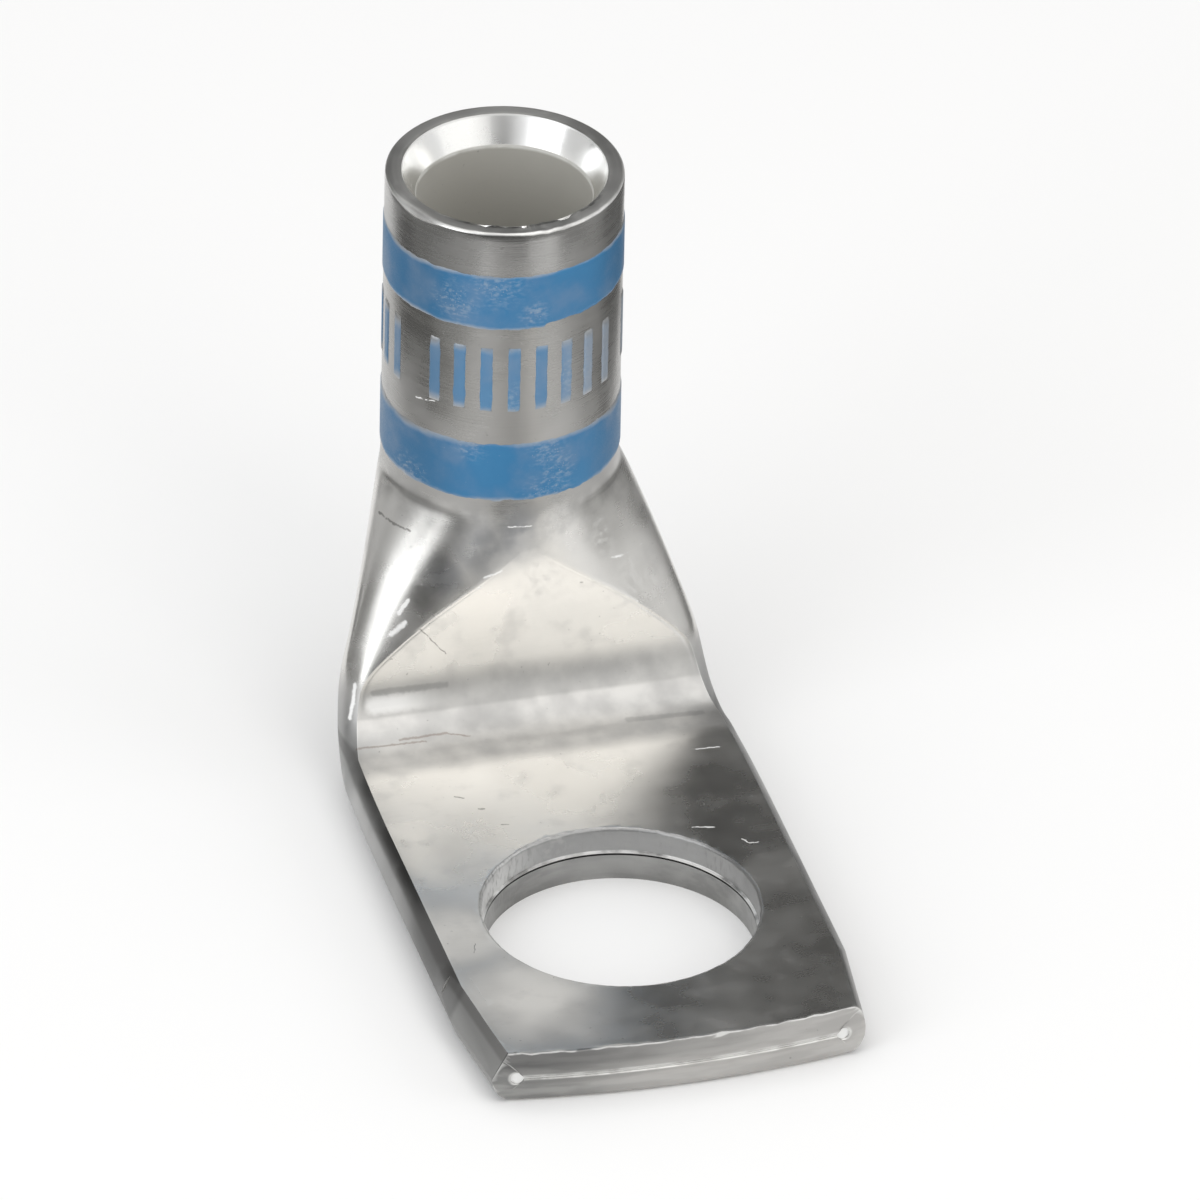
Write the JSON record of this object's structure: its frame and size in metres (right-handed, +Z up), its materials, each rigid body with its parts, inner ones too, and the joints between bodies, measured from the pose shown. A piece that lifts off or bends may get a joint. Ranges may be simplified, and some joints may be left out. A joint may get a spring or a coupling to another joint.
{
  "type": "copper cable lug",
  "caption": "One-hole compression cable lug, tin plated, with a round barrel bent at a right angle to a flat tongue and blue colour-code bands.",
  "frame": {"origin": "centre of the stud hole on the mounting face, the underside of the tongue", "axes": "+X across the tongue, +Y from the stud hole towards the barrel, +Z up along the stud hole and the barrel, out of the barrel's mouth"},
  "size_m": [0.0126, 0.026, 0.0193],
  "materials": {
    "tinned_copper": "satin tin plating over copper, fine drawn lines, bright where a tool rubbed it",
    "blue_ink": "thin printed ink, worn at its edges"
  },
  "bodies": {
    "root": {"lug": "tinned_copper", "upper_ink_band": "blue_ink", "lower_ink_band": "blue_ink", "ink_marks": "blue_ink"}
  },
  "joints": []
}
